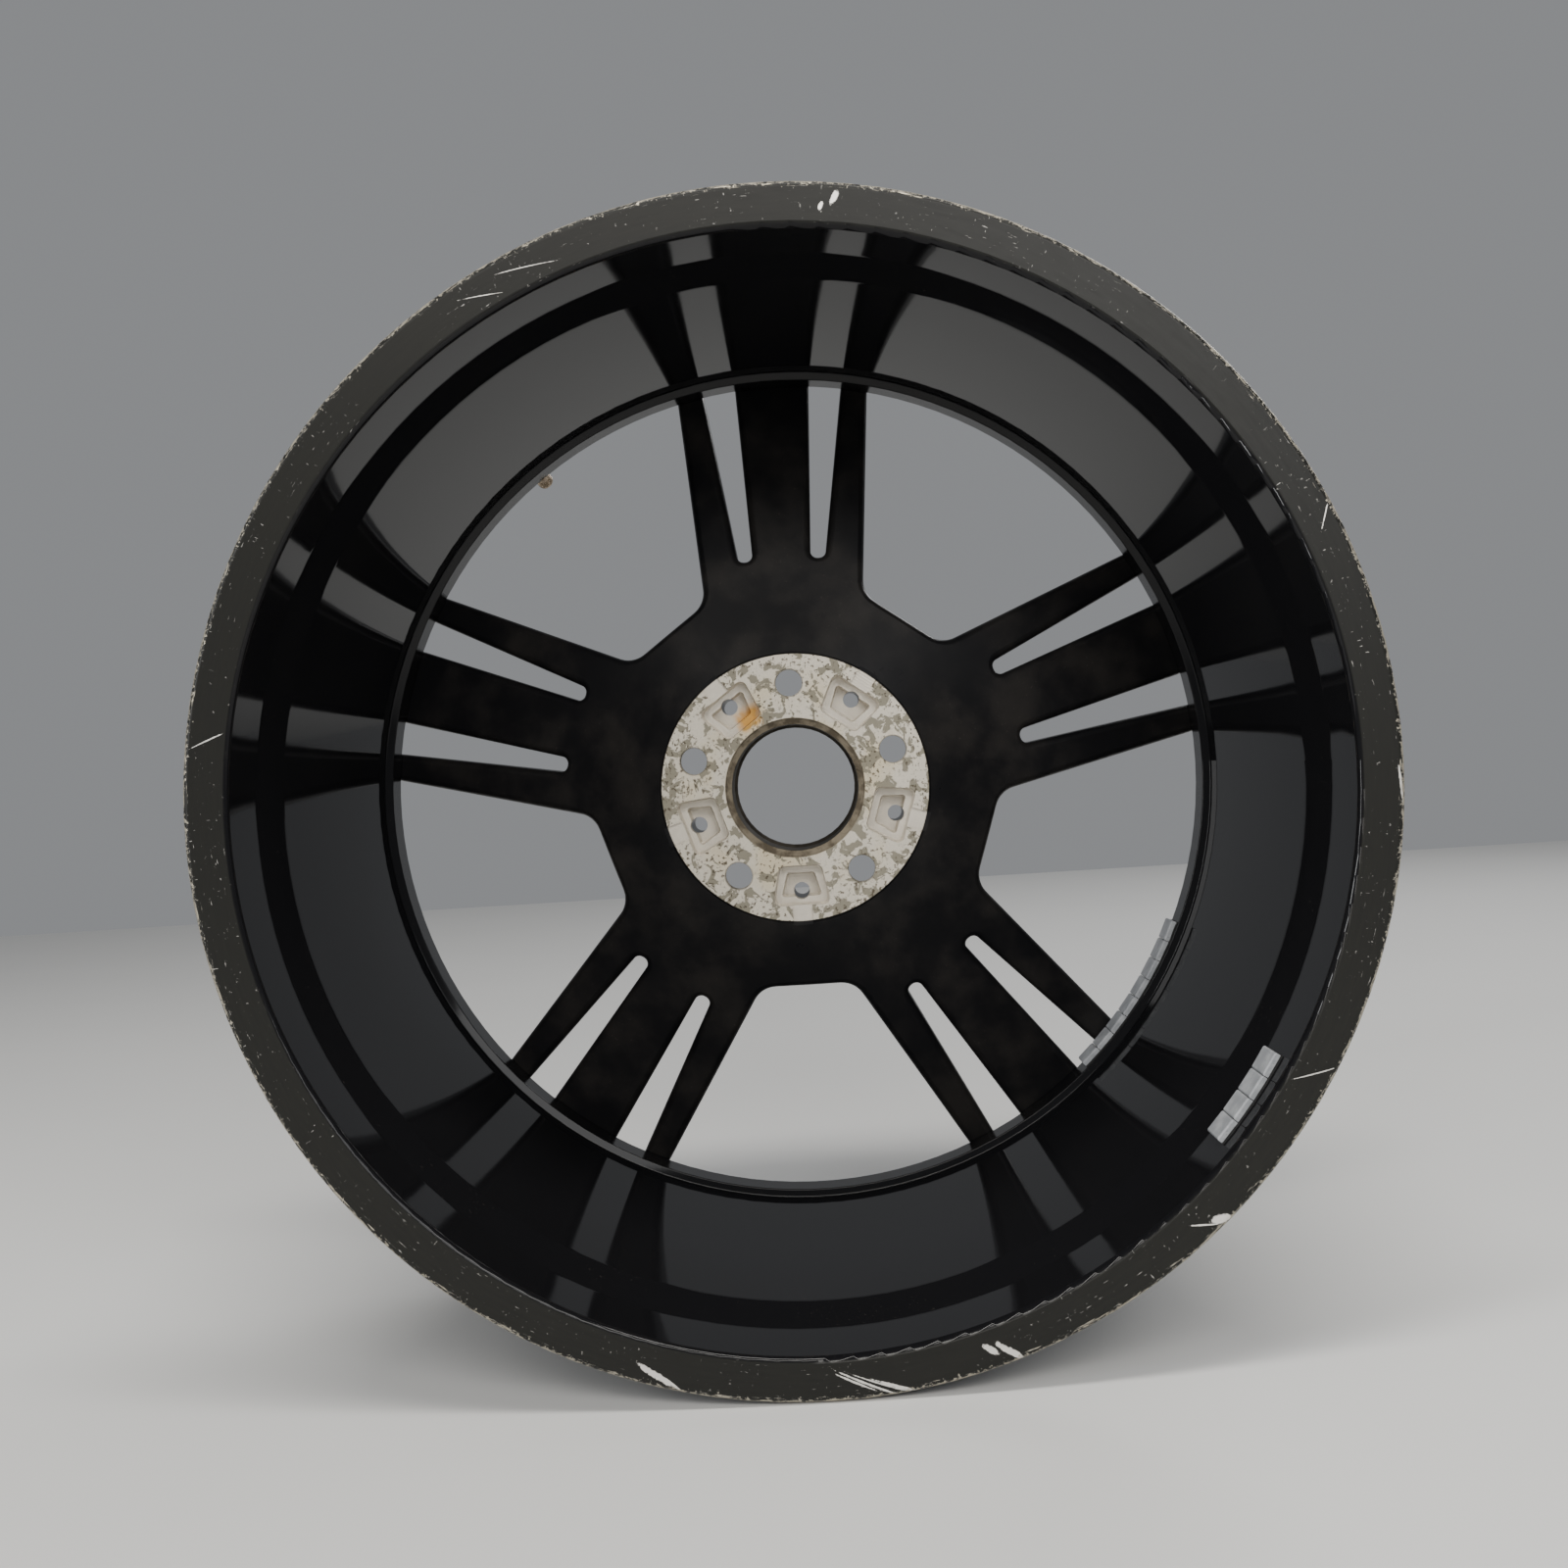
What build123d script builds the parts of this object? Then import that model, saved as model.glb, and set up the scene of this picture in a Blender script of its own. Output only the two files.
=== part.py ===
from build123d import *
import os
from math import atan, cos, degrees, hypot, radians, sin, tan

# One-piece forged five-spoke road wheel with its valve, pressure sensor and balance weights.
# Millimetres. The origin is the centre of the bolt circle on the hub's mounting face.
# +Y runs along the axle towards the street side, +Z is up through the middle of one spoke.

# ---- driving dimensions -------------------------------------------------------------------
SPOKES = 5
SPOKE_STEP = 360 / SPOKES
TOP_SPOKE = 90.0  # angle of the first spoke, from +X towards +Z

RIM_CENTRE = -49.0  # depth of the rim's middle plane (offset 49)
RIM_WIDTH = 241.3  # between the tyre faces of the flanges, 9.5 inch
SEAT_R = 269.1  # nominal bead seat, 21 inch
FLANGE_R = 286.6
FLANGE_THICK = 12.55
INNER_SEAT = RIM_CENTRE - RIM_WIDTH / 2
OUTER_SEAT = RIM_CENTRE + RIM_WIDTH / 2
INNER_FACE = INNER_SEAT - FLANGE_THICK
OUTER_FACE = OUTER_SEAT + FLANGE_THICK
SEAT_SLOPE = tan(radians(5))
SEAT_ROOT = 6.5
WELL_R = 249.6
RING_R = 239.3  # bore of the ring just inboard of the spokes
RING_BACK = 35.6
RING_FRONT = 55.0
SEAT_BORE_R = 265.0  # inside face of the inboard bead seat, at the flange
SEAT_BORE_END = (262.9, -146.0)
LEG_FOOT = (WELL_R, 35.2)  # tyre side of the outboard well wall
LEG_TOP = (266.6, 47.0)

PAD_R = 76.3
BORE_R = 36.3
BORE_CHAMFER = 3.5
BORE_END = 38.0
CAP_SEAT_R = 34.8
CAP_SEAT_END = 45.0
HUB_FRONT = 48.0
HUB_FRONT_R = 84.0
BOLT_CIRCLE_R = 60.0
LUG_HOLE_R = 7.75
LUG_WELL_R = 14.0
LUG_SEAT_R = 12.0
LUG_SEAT_START = 10.0

POCKET_INNER = (44.5, 12.25)  # distance from the axle, half width
POCKET_OUTER = (67.5, 16.8)
POCKET_CORNER = 4.0
POCKET_DEPTH = 9.0
POCKET_STEP = 3.6
POCKET_FLOOR = 18.0
POCKET_HOLE_R = 4.65
NOTCH_HALF = 5.7
NOTCH_DEPTH = 1.8

SLOT_TIP = 132.6  # distance of the slot's inner end from the axle
SLOT_TIP_R = 4.2
SLOT_INSIDE = (16.9, 0.0497)  # lateral place at the tip, spread per mm outward
SLOT_OUTSIDE = (25.5, 0.152)
WINDOW_INNER = 115.5
WINDOW_HALF = 27.0
WINDOW_FLARE = degrees(atan(0.5995))
WINDOW_CORNER = 15.0
SPOKE_END = 272.0  # the plan outlines run on into the barrel to here
BACK_ROUND = 4.0
FRONT_BEVEL = 2.6

VALVE_ANGLE = 126.0
VALVE_HOLE_R = 5.75
VALVE_POCKET_R = 8.0
VALVE_FACE = 0.4  # depth of the spot face on the tyre side
VALVE_WALL = 6.0  # rim left under the nut, from the leg's face
STEM_R = 4.95
STEM_NECK_R = 3.85
STEM_TIP = 31.0
CORE_BORE_R = 2.6

WEIGHT_THICK = 3.1
TAPE_THICK = 0.9
WEIGHT_GAP = 0.4  # along the strip, between two segments
WEIGHT_CLEAR = 0.05  # between a segment's ends and the tape
WEIGHT_BEVEL = 0.7
OUTER_STRIP_SEGMENTS = 8
OUTER_STRIP_START = 312.4
OUTER_STRIP_STEP = 3.05
OUTER_STRIP_Y = (36.4, 54.5)
INNER_STRIP_SEGMENTS = 4
INNER_STRIP_START = 317.5
INNER_STRIP_STEP = 2.75
INNER_STRIP_Y = (-169.5, -150.5)

SENSOR_LOW = 251.4
SENSOR_HIGH = 264.6
SENSOR_Y = (0.0, 31.0)
SENSOR_HALF = 23.0
SENSOR_WALL = 1.6


# ---- helpers ------------------------------------------------------------------------------
def rounded_face(corners):
    """A flat face from (x, y, corner radius), in order round its edge."""
    points = [(x, y) for x, y, _ in corners]
    radii = [r for _, _, r in corners]
    return make_face(FilletPolyline(*points, radius=radii, close=True))


def plain_face(points):
    return make_face(Polyline(*points, close=True))


def lathe(face, arc=360.0):
    """Turn an outline of (radius, depth) about the axle."""
    return revolve(face, Axis.Y, revolution_arc=arc)


def turned(points):
    """Turn an outline of (radius, height) about Z."""
    return revolve(Plane.XZ * plain_face(points), Axis.Z)


def about_axle(shape, angle):
    """Swing a shape made at the top of the wheel to an angle from +X towards +Z."""
    return Rot(0, TOP_SPOKE - angle, 0) * shape


def at_each(shape, first):
    return [about_axle(shape, first + SPOKE_STEP * k) for k in range(SPOKES)]


def tube(outer, inner, low, high):
    return turned([(inner, low), (outer, low), (outer, high), (inner, high)])


def rod(radius, low, high):
    return turned([(0, low), (radius, low), (radius, high), (0, high)])


# ---- the wheel forging --------------------------------------------------------------------
def bead_seat(depth):
    """Radius of the 5 degree bead seat at a depth, on either side of the rim."""
    edge = INNER_SEAT if depth < RIM_CENTRE else OUTER_SEAT
    return SEAT_R - SEAT_SLOPE * abs(depth - edge)


def barrel():
    wall = [
        (FLANGE_R, INNER_FACE, 3.0),
        (SEAT_BORE_R, INNER_FACE, 3.0),
        (SEAT_BORE_END[0], SEAT_BORE_END[1], 12.0),
        (256.6, -122.0, 14.0),
        (243.9, RING_BACK - 1.5, 1.2),
        (RING_R, RING_BACK, 0.8),
        (RING_R, RING_FRONT, 1.2),
        (262.0, 74.0, 9.0),
        (266.0, OUTER_FACE, 2.0),
        (FLANGE_R, OUTER_FACE, 3.0),
        (FLANGE_R, OUTER_SEAT, 8.0),
        (SEAT_R, OUTER_SEAT, SEAT_ROOT),
        (bead_seat(55.0), 55.0, 4.0),
        (269.2, 50.5, 2.5),
        (LEG_TOP[0], LEG_TOP[1], 2.0),
        (LEG_FOOT[0], LEG_FOOT[1], 8.0),
        (WELL_R, 14.0, 30.0),
        (261.1, -120.5, 16.0),
        (267.0, -142.5, 3.0),
        (269.2, -147.5, 2.5),
        (bead_seat(-152.5), -152.5, 4.0),
        (SEAT_R, INNER_SEAT, SEAT_ROOT),
        (FLANGE_R, INNER_SEAT, 8.0),
    ]
    return lathe(rounded_face(wall))


def spoke_disc():
    """The hub and spokes before the windows are cut: a dished disc."""
    back = ThreePointArc((77.6, 1.3), (160, 31.5), (246, 58.5))
    front = ThreePointArc((268, 79.5), (176, 61), (HUB_FRONT_R, HUB_FRONT))
    edge = [
        Polyline((20, HUB_FRONT), (20, 0), (PAD_R, 0), back @ 0),
        back,
        Line(back @ 1, front @ 0),
        front,
        Line(front @ 1, (20, HUB_FRONT)),
    ]
    return lathe(make_face(edge))


def slot_plan():
    """One slot between the centre spoke and an arm, beside the spoke on +Z."""
    reach = SPOKE_END - SLOT_TIP
    inside, inside_spread = SLOT_INSIDE
    outside, outside_spread = SLOT_OUTSIDE
    return rounded_face([
        (inside, SLOT_TIP, SLOT_TIP_R),
        (inside + inside_spread * reach, SPOKE_END, 0),
        (outside + outside_spread * reach, SPOKE_END, 0),
        (outside, SLOT_TIP, SLOT_TIP_R),
    ])


def window_plan():
    """One window between two spokes, drawn along +Z."""
    outer_half = WINDOW_HALF + (SPOKE_END - WINDOW_INNER) * tan(radians(WINDOW_FLARE))
    return rounded_face([
        (-WINDOW_HALF, WINDOW_INNER, WINDOW_CORNER),
        (-outer_half, SPOKE_END, 0),
        (outer_half, SPOKE_END, 0),
        (WINDOW_HALF, WINDOW_INNER, WINDOW_CORNER),
    ])


def through_disc(plan):
    """Extrude a plan outline along the axle, past both faces of the disc."""
    return extrude(Plane.XZ * plan, amount=100, both=True)


def rim_edges(spider, front):
    """Edges where the spokes' sides meet the front of the disc, or its back."""
    chosen = []
    for edge in spider.edges():
        middle = edge @ 0.5
        reach = hypot(middle.X, middle.Z)
        run = (edge @ 1) - (edge @ 0)
        runs_through = abs(run.Y) > 3 * hypot(run.X, run.Z)
        if runs_through or reach < 100 or reach > (250 if front else 243):
            continue
        if (middle.Y > 0.3 * reach - 4) == front:
            chosen.append(edge)
    return chosen


def soften_spokes(spider):
    """Bevel the front edges of the spokes, then round the back ones."""
    bevelled = chamfer(rim_edges(spider, True), FRONT_BEVEL)
    return fillet(rim_edges(bevelled, False), BACK_ROUND)


def spider():
    disc = spoke_disc()
    slot = through_disc(slot_plan())
    cuts = at_each(slot, TOP_SPOKE)
    cuts += at_each(mirror(slot, Plane.YZ), TOP_SPOKE)
    cuts += at_each(through_disc(window_plan()), TOP_SPOKE + SPOKE_STEP / 2)
    return soften_spokes(disc - cuts)


def bore_cut():
    past = 1.0
    return lathe(plain_face([
        (0, -past),
        (BORE_R + BORE_CHAMFER + past, -past),
        (BORE_R, BORE_CHAMFER),
        (BORE_R, BORE_END),
        (CAP_SEAT_R, BORE_END + BORE_R - CAP_SEAT_R),
        (CAP_SEAT_R, CAP_SEAT_END),
        (CAP_SEAT_R + HUB_FRONT - CAP_SEAT_END + past, HUB_FRONT + past),
        (0, HUB_FRONT + past),
    ]))


def lug_cut():
    """Lug hole with its conical nut seat and the well for the socket, made at +Z."""
    seat_end = LUG_SEAT_START + (LUG_SEAT_R - LUG_HOLE_R) / tan(radians(30))
    hole = turned([
        (0, -1),
        (LUG_HOLE_R + 1.5, -1),
        (LUG_HOLE_R, 0.5),
        (LUG_HOLE_R, LUG_SEAT_START),
        (LUG_SEAT_R, seat_end),
        (LUG_WELL_R, seat_end),
        (LUG_WELL_R, HUB_FRONT + 6),
        (0, HUB_FRONT + 6),
    ])
    return Pos(0, 0, BOLT_CIRCLE_R) * Rot(-90, 0, 0) * hole


def pocket_plan(inset):
    inner, inner_half = POCKET_INNER
    outer, outer_half = POCKET_OUTER
    return rounded_face([
        (-inner_half + inset, inner + inset, POCKET_CORNER - inset / 3),
        (-outer_half + inset, outer - inset, POCKET_CORNER - inset / 3),
        (outer_half - inset, outer - inset, POCKET_CORNER - inset / 3),
        (inner_half - inset, inner + inset, POCKET_CORNER - inset / 3),
    ])


def pocket_cut():
    """Lightening pocket in the mounting face: two steps, a drain hole and a notch, at +Z."""
    draft = 6
    face = Plane((0, 0, 0), x_dir=(-1, 0, 0), z_dir=(0, 1, 0))
    upper = extrude(face * pocket_plan(0), amount=POCKET_DEPTH, taper=draft)
    lower = extrude(face * pocket_plan(POCKET_STEP), amount=POCKET_FLOOR, taper=draft)
    drain = extrude(face * Pos(0, BOLT_CIRCLE_R) * Circle(POCKET_HOLE_R), amount=HUB_FRONT + 6)
    notch_low = POCKET_OUTER[0] - 2
    notch_high = PAD_R + 4
    notch = Pos(0, 0, (notch_low + notch_high) / 2) * Box(
        2 * NOTCH_HALF, 2 * NOTCH_DEPTH, notch_high - notch_low
    )
    return upper + lower + drain + notch


def wheel_forging():
    body = barrel() + spider()
    cuts = [bore_cut()]
    cuts += at_each(lug_cut(), TOP_SPOKE)
    cuts += at_each(pocket_cut(), TOP_SPOKE + SPOKE_STEP / 2)
    hole = rod(VALVE_HOLE_R, -4, VALVE_WALL + 1)
    spot_face = rod(9, -8, VALVE_FACE)
    nut_pocket = rod(VALVE_POCKET_R, VALVE_WALL, 34)
    cuts.append(VALVE_PLACE * (hole + spot_face + nut_pocket))
    return body - cuts


# ---- balance weights ----------------------------------------------------------------------
def strip_radius(depth):
    """Radius of the surface that a weight strip is stuck to."""
    if depth > RING_BACK:
        return RING_R
    share = (depth - INNER_FACE) / (SEAT_BORE_END[1] - INNER_FACE)
    return SEAT_BORE_R + share * (SEAT_BORE_END[0] - SEAT_BORE_R)


def tape(depths, start, step, count):
    """A strip of foam from the start angle on; lathe turns from +X towards -Z."""
    low, high = depths
    low_r = strip_radius(low)
    high_r = strip_radius(high)
    section = plain_face([
        (low_r, low),
        (low_r - TAPE_THICK, low),
        (high_r - TAPE_THICK, high),
        (high_r, high),
    ])
    arc = count * step
    return about_axle(lathe(section, arc), TOP_SPOKE + start + arc)


def weight(depths, start, step):
    """One steel segment of a stick-on strip, bevelled on its open side."""
    low, high = depths
    middle = (low + high) / 2
    width = radians(step) * strip_radius(middle) - WEIGHT_GAP
    block = Box(width, high - low, WEIGHT_THICK)
    open_side = block.faces().sort_by(Axis.Z)[0]
    block = chamfer(open_side.edges(), WEIGHT_BEVEL)
    lean = degrees(atan((strip_radius(high) - strip_radius(low)) / (high - low)))
    tape_r = strip_radius(middle) - TAPE_THICK
    flat_r = tape_r * cos(width / 2 / tape_r) - WEIGHT_CLEAR
    block = Pos(0, middle, flat_r - WEIGHT_THICK / 2) * Rot(lean, 0, 0) * block
    return about_axle(block, start + step / 2)


# ---- valve, drawn along +Z from the tyre side of the rim wall ------------------------------
def valve_place():
    run = (LEG_TOP[0] - LEG_FOOT[0], LEG_TOP[1] - LEG_FOOT[1])
    length = hypot(*run)
    inward, outward = run[1] / length, run[0] / length
    foot_r = (LEG_TOP[0] + LEG_FOOT[0]) / 2
    foot_y = (LEG_TOP[1] + LEG_FOOT[1]) / 2
    cos_a = cos(radians(VALVE_ANGLE))
    sin_a = sin(radians(VALVE_ANGLE))
    return Plane(
        origin=(foot_r * cos_a, foot_y, foot_r * sin_a),
        x_dir=(-sin_a, 0, cos_a),
        z_dir=(-inward * cos_a, outward, -inward * sin_a),
    ).location


VALVE_PLACE = valve_place()


def valve_stem():
    return turned([
        (2.0, -4.2),
        (7.2, -4.2),
        (7.2, -2.0),
        (STEM_R, -2.0),
        (STEM_R, 14.0),
        (STEM_NECK_R - 0.35, 15.6),
        (STEM_NECK_R - 0.35, 22.0),
        (STEM_NECK_R, 22.4),
        (STEM_NECK_R, STEM_TIP - 0.4),
        (STEM_NECK_R - 0.4, STEM_TIP),
        (CORE_BORE_R, STEM_TIP),
        (CORE_BORE_R, 11.0),
        (2.0, 10.0),
    ])


def valve_grommet():
    sleeve_r = VALVE_HOLE_R - 0.05
    return turned([
        (STEM_R + 0.05, -2.0),
        (7.6, -2.0),
        (8.2, -1.4),
        (8.2, VALVE_FACE),
        (sleeve_r, VALVE_FACE),
        (sleeve_r, VALVE_WALL - 0.2),
        (STEM_R + 0.05, VALVE_WALL - 0.2),
    ])


def valve_washer():
    return tube(7.6, STEM_R + 0.15, VALVE_WALL, VALVE_WALL + 1.2)


def valve_nut():
    low = VALVE_WALL + 1.2
    high = low + 5.6
    flange = rod(7.5, low, low + 1.2)
    hexagon = Pos(0, 0, low) * extrude(RegularPolygon(6.0, 6, major_radius=False), high - low)
    crown = turned([(0, low), (7.5, low), (7.5, high - 1.4), (6.0, high), (0, high)])
    return (flange + (hexagon & crown)) - rod(STEM_R + 0.03, low - 1, high + 1)


def valve_core_body():
    head = turned([
        (0.9, 26.2),
        (CORE_BORE_R - 0.05, 26.2),
        (CORE_BORE_R - 0.05, 30.4),
        (0.9, 30.4),
    ])
    slot = Pos(0, 0, 30.2) * Box(6, 0.9, 2.4)
    barrel_tube = tube(1.95, 1.55, 18.2, 26.2)
    foot = tube(1.95, 0.8, 17.6, 18.2)
    return (head - slot) + barrel_tube + foot


def valve_core_gasket():
    return turned([(2.0, 23.4), (2.3, 23.4), (2.52, 24.4), (2.52, 26.0), (2.0, 26.0)])


def valve_core_pin():
    return turned([
        (0, 13.6),
        (0.5, 13.6),
        (0.5, 24.6),
        (1.2, 24.6),
        (1.2, 25.2),
        (0.5, 25.2),
        (0.5, 30.5),
        (0.3, 30.7),
        (0, 30.7),
    ])


def valve_core_seal():
    return turned([(0.5, 15.4), (1.9, 15.4), (1.9, 17.5), (1.5, 17.5), (1.5, 16.4), (0.5, 16.4)])


def valve_core_spring():
    wire = 0.16
    coil = Helix(pitch=1.2, height=5.6, radius=1.05)
    end = Plane(origin=coil @ 0, z_dir=coil % 0)
    return Pos(0, 0, 18.6) * sweep(end * Circle(wire), path=coil, is_frenet=True)


def valve_cap():
    grip_low = 22.8
    top = 34.2
    shell = turned([
        (STEM_NECK_R + 0.08, grip_low),
        (4.5, grip_low),
        (4.75, grip_low + 0.4),
        (4.75, top - 2.6),
        (4.35, top - 1.2),
        (3.2, top - 0.3),
        (0, top),
        (0, top - 1.7),
        (STEM_NECK_R + 0.08, top - 1.7),
    ])
    flutes = [Rot(0, 0, 30 * k) * Pos(5.35, 0, 0) * rod(0.85, grip_low - 1, top - 3.4) for k in range(12)]
    return shell - flutes


def valve_cap_liner():
    return rod(STEM_NECK_R - 0.05, STEM_TIP + 0.05, 32.45)


# ---- tyre pressure sensor -----------------------------------------------------------------
def sensor_place():
    cos_a = cos(radians(VALVE_ANGLE))
    sin_a = sin(radians(VALVE_ANGLE))
    return Plane(origin=(0, 0, 0), x_dir=(-sin_a, 0, cos_a), z_dir=(cos_a, 0, sin_a)).location


SENSOR_PLACE = sensor_place()


def sensor_block(half, depths, low, high):
    """A block beside the well: along the rim, across it, and away from the axle."""
    across = depths[1] - depths[0]
    middle = (depths[0] + depths[1]) / 2
    return Pos(0, -middle, (low + high) / 2) * Box(2 * half, across, high - low)


def inset(depths, amount):
    return (depths[0] + amount, depths[1] - amount)


def sensor_case():
    outer = sensor_block(SENSOR_HALF, SENSOR_Y, SENSOR_LOW, SENSOR_HIGH)
    outer = fillet(outer.edges().filter_by(Axis.Z), 4)
    hollow = sensor_block(
        SENSOR_HALF - SENSOR_WALL, inset(SENSOR_Y, SENSOR_WALL), SENSOR_LOW + SENSOR_WALL, SENSOR_HIGH + 1
    )
    ear = Pos(0, -2, -5.3) * Box(13, 18, 2.2)
    ear = SENSOR_PLACE.inverse() * VALVE_PLACE * ear
    bolt_hole = SENSOR_PLACE.inverse() * VALVE_PLACE * rod(1.6, -12, -3)
    return SENSOR_PLACE * (outer + ear - hollow - bolt_hole)


def sensor_lid():
    plate = sensor_block(
        SENSOR_HALF - SENSOR_WALL - 0.1,
        inset(SENSOR_Y, SENSOR_WALL + 0.1),
        SENSOR_HIGH - SENSOR_WALL,
        SENSOR_HIGH,
    )
    port = Pos(-14, -6, SENSOR_HIGH) * Cylinder(1.0, 8)
    return SENSOR_PLACE * (plate - port)


def sensor_board():
    low = SENSOR_LOW + SENSOR_WALL + 4.0
    board = sensor_block(SENSOR_HALF - SENSOR_WALL - 0.4, inset(SENSOR_Y, SENSOR_WALL + 0.4), low, low + 1.0)
    chip = Pos(-14, -15.5, low + 1.8) * Box(7, 7, 1.6)
    coil = Pos(-14, -7, low + 2.3) * Box(5, 5, 2.6)
    return SENSOR_PLACE * (board + chip + coil)


def sensor_cell():
    low = SENSOR_LOW + SENSOR_WALL + 5.0
    can = Cylinder(10, 3.2)
    can = fillet(can.edges().filter_by(GeomType.CIRCLE), 0.4)
    return SENSOR_PLACE * Pos(8, -15.5, low + 1.6) * can


def sensor_screw():
    head = turned([(0, -8.7), (2.4, -8.7), (2.9, -8.1), (2.9, -6.4), (0, -6.4)])
    socket = Pos(0, 0, -8.9) * extrude(RegularPolygon(1.25, 6, major_radius=False), 1.6)
    return head + rod(1.45, -6.4, 1.0) - socket


# ---- write every node ---------------------------------------------------------------------
def numbered(name, depths, start, step, count):
    return {f"{name}_{k + 1}": weight(depths, start + step * k, step) for k in range(count)}


def all_nodes():
    on_valve = [
        valve_stem, valve_grommet, valve_washer, valve_nut, valve_core_body, valve_core_gasket,
        valve_core_pin, valve_core_seal, valve_core_spring, valve_cap, valve_cap_liner, sensor_screw,
    ]
    nodes = {"wheel_forging": wheel_forging()}
    for make in on_valve:
        nodes[make.__name__] = VALVE_PLACE * make()
    for make in [sensor_case, sensor_lid, sensor_board, sensor_cell]:
        nodes[make.__name__] = make()
    outer_strip = (OUTER_STRIP_Y, OUTER_STRIP_START, OUTER_STRIP_STEP, OUTER_STRIP_SEGMENTS)
    inner_strip = (INNER_STRIP_Y, INNER_STRIP_START, INNER_STRIP_STEP, INNER_STRIP_SEGMENTS)
    nodes["tape_outboard"] = tape(*outer_strip)
    nodes["tape_inboard"] = tape(*inner_strip)
    nodes.update(numbered("weight_outboard", *outer_strip))
    nodes.update(numbered("weight_inboard", *inner_strip))
    return nodes


os.makedirs("parts", exist_ok=True)
for node, shape in all_nodes().items():
    export_step(shape, f"parts/{node}.step")
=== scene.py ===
from math import atan, cos, pi, radians, sin

import bpy
from bpy.props import FloatProperty, FloatVectorProperty, IntProperty, PointerProperty
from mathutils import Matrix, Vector


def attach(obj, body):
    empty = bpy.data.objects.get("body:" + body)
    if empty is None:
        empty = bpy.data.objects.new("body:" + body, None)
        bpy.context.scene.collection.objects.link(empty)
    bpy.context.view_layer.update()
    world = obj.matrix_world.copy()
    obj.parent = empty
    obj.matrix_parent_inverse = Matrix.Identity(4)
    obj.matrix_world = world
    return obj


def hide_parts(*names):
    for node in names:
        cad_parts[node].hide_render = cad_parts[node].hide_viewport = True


bl_info = {
    "name": "Five-spoke road wheel",
    "version": (1, 0, 0),
    "blender": (4, 5, 0),
    "location": "3D View > Sidebar > Wheel",
    "description": "Finishes, balance weights and studio for a one-piece five-spoke road wheel",
    "category": "Object",
}

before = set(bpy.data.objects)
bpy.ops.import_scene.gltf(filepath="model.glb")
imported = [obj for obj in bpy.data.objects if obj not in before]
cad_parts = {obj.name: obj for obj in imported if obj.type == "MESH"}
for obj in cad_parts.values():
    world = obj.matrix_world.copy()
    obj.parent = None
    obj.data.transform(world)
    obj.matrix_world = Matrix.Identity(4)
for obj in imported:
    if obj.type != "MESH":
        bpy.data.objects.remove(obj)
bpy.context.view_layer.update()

# ---- the wheel's own sizes, in metres and degrees, in the frame of the CAD ------------------
SPOKES = 5
SPOKE_STEP = 2 * pi / SPOKES
FLANGE_R = 0.2866
FLANGE_FACE_Y = -0.1822
SEAT_BORE_R = 0.265  # inside face of the inboard bead seat, at the flange
SEAT_BORE_END = (0.2629, -0.146)  # its far end: radius, depth
RING_R = 0.2393  # bore of the ring behind the spokes
OUTER_STRIP_Y = (0.0364, 0.0545)
INNER_STRIP_Y = (-0.1695, -0.1505)
SPOKE_BACK_Y = 0.062
PAD_R = 0.0763
BORE_R = 0.0363
BORE_CHAMFER_R = 0.0400
BORE_CHAMFER_Y = 0.0037
BORE_END_Y = 0.0455
POCKET_CENTRE_R = 0.0575
POCKET_HALF = 0.0185
POCKET_FLOOR_Y = 0.018
CUTTER_PASS = 0.0016  # between two cutter marks in a pocket
RUST_PLACE = (-0.0245, 0.0416)  # across and up, in one pocket
WORN_EDGE_R = 0.2842
TOP_SPOKE_ANGLE = pi / 2
CAMERA_PLACE = (0.016, -1.007, 0.020)
CAMERA_TURN = (89.0, 3.6, 1.2)  # degrees about X, Y and Z, from looking straight down
CAMERA_LENS = 40.5  # millimetres, on a 36 mm sensor

# Marks where the flange met a kerb: angle, radius, length, width, tilt from the rim's run.
KERB_GOUGES = [
    (-106.6, 0.2805, 0.019, 0.0030, 19),
    (-104.9, 0.2829, 0.012, 0.0012, 26),
    (-87.2, 0.2778, 0.020, 0.0009, 28),
    (-85.7, 0.2800, 0.034, 0.0010, 28),
    (-84.6, 0.2803, 0.030, 0.0007, 25),
    (-83.2, 0.2824, 0.022, 0.0014, 24),
    (-73.6, 0.2768, 0.008, 0.0030, 48),
    (-71.9, 0.2806, 0.015, 0.0030, 50),
    (-49.6, 0.2790, 0.012, 0.0009, 40),
    (-48.0, 0.2826, 0.010, 0.0038, 30),
    (-31.6, 0.2765, 0.020, 0.0006, 47),
    (82.1, 0.2790, 0.007, 0.0030, -65),
    (83.4, 0.2748, 0.004, 0.0020, -80),
    (113.0, 0.2760, 0.030, 0.00040, 14),
    (118.0, 0.2742, 0.021, 0.00035, 22),
    (171.0, 0.2752, 0.018, 0.0006, 60),
    (-2.5, 0.2842, 0.016, 0.0012, -6),
    (24.0, 0.2800, 0.012, 0.0006, 40),
]


def colour(name, words, value):
    return FloatVectorProperty(
        name=name, description=words, default=value, subtype="COLOR", size=3, min=0, max=1
    )


def length(name, words, value):
    return FloatProperty(name=name, description=words, default=value, unit="LENGTH", precision=5)


def turn(name, words, value):
    return FloatProperty(name=name, description=words, default=value, subtype="ANGLE")


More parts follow.
